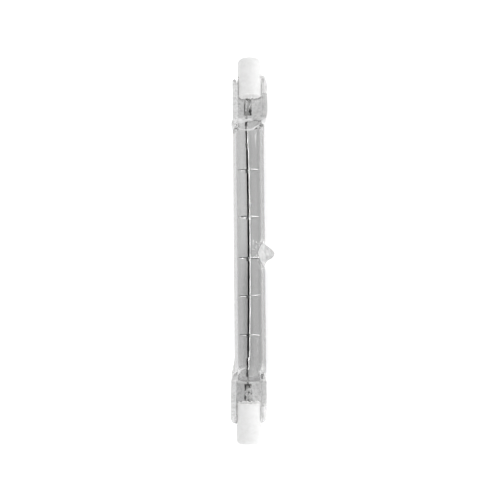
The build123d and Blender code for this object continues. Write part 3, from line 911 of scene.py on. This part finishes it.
def milky(name, clear, low, scale, top):
    """Where the quartz was pressed or melted off it is a little milky and uneven."""
    mat, nt, bs = new_material(name)
    bs.inputs["Transmission Weight"].default_value = clear
    bs.inputs["IOR"].default_value = 1.458
    nz = noise_node(nt, scale, 5.0, 0.62)
    rp = ramp(nt, nz.outputs["Fac"], [(0.30, grey(low)), (0.50, grey(0.94 * top)), (0.70, grey(top))])
    # painted shade: the same shade attribute greys this glass too
    at = nt.nodes.new("ShaderNodeAttribute")
    at.attribute_type = "GEOMETRY"
    at.attribute_name = "grey_and_painted_shade"
    fr_ = ramp(nt, at.outputs["Fac"], [(0.0, grey(1.0)), (1.0, grey(0.50))])
    mul = nt.nodes.new("ShaderNodeMix")
    mul.data_type = "RGBA"
    mul.blend_type = "MULTIPLY"
    mul.inputs["Factor"].default_value = 1.0
    nt.links.new(rp.outputs["Color"], mul.inputs["A"])
    nt.links.new(fr_.outputs["Color"], mul.inputs["B"])
    nt.links.new(mul.outputs["Result"], bs.inputs["Base Color"])
    nz2 = noise_node(nt, 500.0, 3.0, 0.6)
    mr = map_range(nt, nz2.outputs["Fac"], 0.05, 0.15)
    nt.links.new(mr.outputs["Result"], bs.inputs["Roughness"])
    nz3 = noise_node(nt, 800.0, 3.0, 0.55)
    bump(nt, bs, nz3.outputs["Fac"], 0.35, 0.0001)
    return mat


pressed = milky("quartz_pressed", 0.95, 0.36, 1100.0, 0.68)
# used for the melted-off tip and ends, and also for the painted highlights along the front creases and on the top
# shoulder
melted_and_highlight_quartz = milky("quartz_melted_and_highlight", 0.50, 0.60, 1000.0, 1.0)
shoulder_quartz = milky("quartz_shoulder", 0.86, 0.52, 1100.0, 0.76)

def toned(nt, bs, dark, bright, bare=0.15):
    """Base colour between two ramps of colour, after the mesh's tone."""
    at = nt.nodes.new("ShaderNodeAttribute")
    at.attribute_type = "GEOMETRY"
    at.attribute_name = "tone"
    mx = nt.nodes.new("ShaderNodeMix")
    mx.data_type = "RGBA"
    nt.links.new(at.outputs["Fac"], mx.inputs["Factor"])
    nt.links.new(dark, mx.inputs["A"])
    nt.links.new(bright, mx.inputs["B"])
    nt.links.new(mx.outputs["Result"], bs.inputs["Base Color"])
    mm = nt.nodes.new("ShaderNodeMapRange")
    mm.inputs["To Min"].default_value = 1.0
    mm.inputs["To Max"].default_value = bare
    nt.links.new(at.outputs["Fac"], mm.inputs["Value"])
    nt.links.new(mm.outputs["Result"], bs.inputs["Metallic"])


tungsten, nt, bs = new_material("tungsten")
bs.inputs["Metallic"].default_value = 1.0
nz = noise_node(nt, 1800.0, 4.0, 0.6)
rp = ramp(nt, nz.outputs["Fac"], [(0.3, (0.003, 0.003, 0.003, 1)), (0.7, (0.010, 0.010, 0.010, 1))])
rp2 = ramp(nt, nz.outputs["Fac"], [(0.3, (0.90, 0.90, 0.90, 1)), (0.7, (0.98, 0.98, 0.97, 1))])
toned(nt, bs, rp.outputs["Color"], rp2.outputs["Color"], 0.4)
mr = map_range(nt, nz.outputs["Fac"], 0.26, 0.42)
nt.links.new(mr.outputs["Result"], bs.inputs["Roughness"])
nz2 = noise_node(nt, 9000.0, 2.0, 0.5)
bump(nt, bs, nz2.outputs["Fac"], 0.25, 0.00002)

support_metal, nt, bs = new_material("tungsten_support")
bs.inputs["Metallic"].default_value = 1.0
nz = noise_node(nt, 1500.0, 4.0, 0.6)
rp = ramp(nt, nz.outputs["Fac"], [(0.3, (0.03, 0.03, 0.03, 1)), (0.7, (0.09, 0.09, 0.09, 1))])
rp2 = ramp(nt, nz.outputs["Fac"], [(0.3, (0.86, 0.86, 0.86, 1)), (0.7, (0.97, 0.97, 0.96, 1))])
toned(nt, bs, rp.outputs["Color"], rp2.outputs["Color"], 0.4)
mr = map_range(nt, nz.outputs["Fac"], 0.16, 0.30)
nt.links.new(mr.outputs["Result"], bs.inputs["Roughness"])
nz2 = noise_node(nt, 9000.0, 2.0, 0.5)
bump(nt, bs, nz2.outputs["Fac"], 0.2, 0.00002)

moly, nt, bs = new_material("molybdenum")
bs.inputs["Metallic"].default_value = 1.0
nz = noise_node(nt, 900.0, 4.0, 0.6, stretch=(1, 0.4, 1))
rp = ramp(nt, nz.outputs["Fac"], [(0.3, (0.004, 0.004, 0.004, 1)), (0.7, (0.02, 0.02, 0.02, 1))])
rp2 = ramp(nt, nz.outputs["Fac"], [(0.3, (0.86, 0.86, 0.86, 1)), (0.7, (0.99, 0.99, 0.98, 1))])
toned(nt, bs, rp.outputs["Color"], rp2.outputs["Color"], 1.0)
mr = map_range(nt, nz.outputs["Fac"], 0.18, 0.34)
nt.links.new(mr.outputs["Result"], bs.inputs["Roughness"])
nz2 = noise_node(nt, 3000.0, 3.0, 0.5, stretch=(1, 0.2, 1))
bump(nt, bs, nz2.outputs["Fac"], 0.3, 0.00003)

steatite, nt, bs = new_material("steatite")
nz = noise_node(nt, 700.0, 6.0, 0.62)
rp = ramp(nt, nz.outputs["Fac"], [(0.32, (0.79, 0.79, 0.785, 1)), (0.55, (0.84, 0.84, 0.837, 1)), (0.72, (0.86, 0.86, 0.86, 1))])
nt.links.new(rp.outputs["Color"], bs.inputs["Base Color"])
mr = map_range(nt, nz.outputs["Fac"], 0.50, 0.68)
nt.links.new(mr.outputs["Result"], bs.inputs["Roughness"])
bs.inputs["Specular IOR Level"].default_value = 0.35
nz2 = noise_node(nt, 2600.0, 5.0, 0.7)
bump(nt, bs, nz2.outputs["Fac"], 0.22, 0.00006)

cement, nt, bs = new_material("cement")
nz = noise_node(nt, 1300.0, 6.0, 0.7)
rp = ramp(nt, nz.outputs["Fac"], [(0.3, (0.86, 0.857, 0.85, 1)), (0.7, (0.99, 0.987, 0.98, 1))])
nt.links.new(rp.outputs["Color"], bs.inputs["Base Color"])
mr = map_range(nt, nz.outputs["Fac"], 0.75, 0.95)
nt.links.new(mr.outputs["Result"], bs.inputs["Roughness"])
nz2 = noise_node(nt, 2200.0, 6.0, 0.75)
bump(nt, bs, nz2.outputs["Fac"], 0.6, 0.0001)

nickel, nt, bs = new_material("nickel")
bs.inputs["Metallic"].default_value = 1.0
nz = noise_node(nt, 1400.0, 5.0, 0.6)
rp = ramp(nt, nz.outputs["Fac"], [(0.3, (0.50, 0.48, 0.44, 1)), (0.7, (0.70, 0.68, 0.64, 1))])
nt.links.new(rp.outputs["Color"], bs.inputs["Base Color"])
mr = map_range(nt, nz.outputs["Fac"], 0.18, 0.34)
nt.links.new(mr.outputs["Result"], bs.inputs["Roughness"])
nz2 = noise_node(nt, 4000.0, 3.0, 0.6)
bump(nt, bs, nz2.outputs["Fac"], 0.2, 0.00003)


def dress(ob, mat):
    if not ob.data.materials:
        ob.data.materials.append(mat)
    for s_ in ob.material_slots:
        s_.material = mat


def place(ob, mat, slot_name, *replaced):
    dress(ob, mat)
    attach(ob, "root")
    if replaced:
        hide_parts(*replaced)


place(envelope, quartz, "quartz", "quartz_envelope")
envelope.data.materials.append(pressed)
envelope.data.materials.append(melted_and_highlight_quartz)
envelope.data.materials.append(shoulder_quartz)
envelope.data.polygons.foreach_set("material_index", melted)
place(filament, tungsten, "tungsten", "filament")
for i, ob in enumerate(supports, start=1):
    place(ob, support_metal, "tungsten", f"support_{i}")
for name in ("top", "bottom"):
    place(foils[name], moly, "molybdenum", "foil_" + name)
    place(inner_leads[name], moly, "molybdenum", "inner_lead_" + name)
    place(outer_leads[name], moly, "molybdenum", "outer_lead_" + name)
    place(cements[name], cement, "cement", "cement_" + name)
    dress(nodes["ceramic_cap_" + name], steatite)
    dress(nodes["contact_" + name], nickel)

# ---- floor and light --------------------------------------------------------------------------------
me = bpy.data.meshes.new("floor")
s_ = 4.0
me.from_pydata([(-s_, -s_, 0), (s_, -s_, 0), (s_, s_, 0), (-s_, s_, 0)], [], [(0, 1, 2, 3)])
floor = bpy.data.objects.new("floor", me)
bpy.context.scene.collection.objects.link(floor)
floor_mat, nt, bs = new_material("floor")
nz = noise_node(nt, 6.0, 2.0, 0.5)
rp = ramp(nt, nz.outputs["Fac"], [(0.3, (0.875, 0.875, 0.875, 1)), (0.7, (0.885, 0.885, 0.885, 1))])
nt.links.new(rp.outputs["Color"], bs.inputs["Base Color"])
bs.inputs["Roughness"].default_value = 0.95
bs.inputs["Specular IOR Level"].default_value = 0.0
bs.inputs["Emission Color"].default_value = (1, 1, 1, 1)      # the table glows a little, as a light table does
bs.inputs["Emission Strength"].default_value = 0.54
me.materials.append(floor_mat)

world = bpy.data.worlds.new("studio")
bpy.context.scene.world = world
world.use_nodes = True
wn = world.node_tree
bg = wn.nodes["Background"]
tc = wn.nodes.new("ShaderNodeTexCoord")
sep = wn.nodes.new("ShaderNodeSeparateXYZ")
wn.links.new(tc.outputs["Generated"], sep.inputs["Vector"])
rp = ramp(wn, sep.outputs["Z"], [(0.0, grey(0.95)), (0.30, grey(0.92)), (0.6, grey(0.82)), (1.0, grey(0.78))])
dot = wn.nodes.new("ShaderNodeVectorMath")
dot.operation = "DOT_PRODUCT"
hole = (W * math.cos(TILT) + V * math.sin(TILT)).normalized()
dot.inputs[1].default_value = tuple(hole)
wn.links.new(tc.outputs["Generated"], dot.inputs[0])
mr = wn.nodes.new("ShaderNodeMapRange")
mr.interpolation_type = "SMOOTHSTEP"
mr.inputs["From Min"].default_value = math.cos(math.radians(29))
mr.inputs["From Max"].default_value = math.cos(math.radians(19))
mr.inputs["To Min"].default_value = 0.0
mr.inputs["To Max"].default_value = 0.95
wn.links.new(dot.outputs["Value"], mr.inputs["Value"])
mx = wn.nodes.new("ShaderNodeMix")
mx.data_type = "RGBA"
wn.links.new(mr.outputs["Result"], mx.inputs["Factor"])
flank = wn.nodes.new("ShaderNodeMapRange")
flank.interpolation_type = "SMOOTHSTEP"
flank.inputs["From Min"].default_value = 0.25
flank.inputs["From Max"].default_value = 0.98
flank.inputs["To Min"].default_value = 1.16
flank.inputs["To Max"].default_value = 1.24
wn.links.new(sep.outputs["X"], flank.inputs["Value"])
sc = wn.nodes.new("ShaderNodeVectorMath")
sc.operation = "SCALE"
wn.links.new(rp.outputs["Color"], sc.inputs[0])
wn.links.new(flank.outputs["Result"], sc.inputs["Scale"])
wn.links.new(sc.outputs["Vector"], mx.inputs["A"])
mx.inputs["B"].default_value = (0.02, 0.02, 0.02, 1)
wn.links.new(mx.outputs["Result"], bg.inputs["Color"])
bg.inputs["Strength"].default_value = 0.90


def area(name, pos, aim, size, size_y, energy):
    data = bpy.data.lights.new(name, "AREA")
    data.shape = "RECTANGLE"
    data.size, data.size_y = size, size_y
    data.energy = energy
    ob = bpy.data.objects.new(name, data)
    bpy.context.scene.collection.objects.link(ob)
    ob.location = pos
    ob.rotation_euler = (Vector(aim) - Vector(pos)).to_track_quat("-Z", "Y").to_euler()
    return ob


# the key stands in line with the camera and is sampled directly only, so the glass keeps its light
# off the floor behind it
key_pos = target + back * 1.25
key = area("key", tuple(key_pos), tuple(target), 0.22, 0.22, 2.8)
key.data.cycles.use_multiple_importance_sampling = False
key.visible_glossy = False
key.visible_transmission = False
side = area("side", (1.15, 0.25, 0.50), (0, 0, 0), 0.5, 0.9, 0.4)
side.data.cycles.use_multiple_importance_sampling = False
side.visible_transmission = False
# a strip light from the tip's side for the wires alone: light sampled directly can't pass the glass otherwise, and the
# side of the wires painted as a highlight would stay grey
wires = bpy.data.collections.new("wires")
for ob in [filament] + supports:
    wires.objects.link(ob)
wire_light = area("wire_light", tuple(target + (U * 0.88 + W * 0.62).normalized()), tuple(target), 0.30, 0.60, 26.0)
wire_light.data.cycles.use_multiple_importance_sampling = False
wire_light.data.use_shadow = False
wire_light.light_linking.receiver_collection = wires
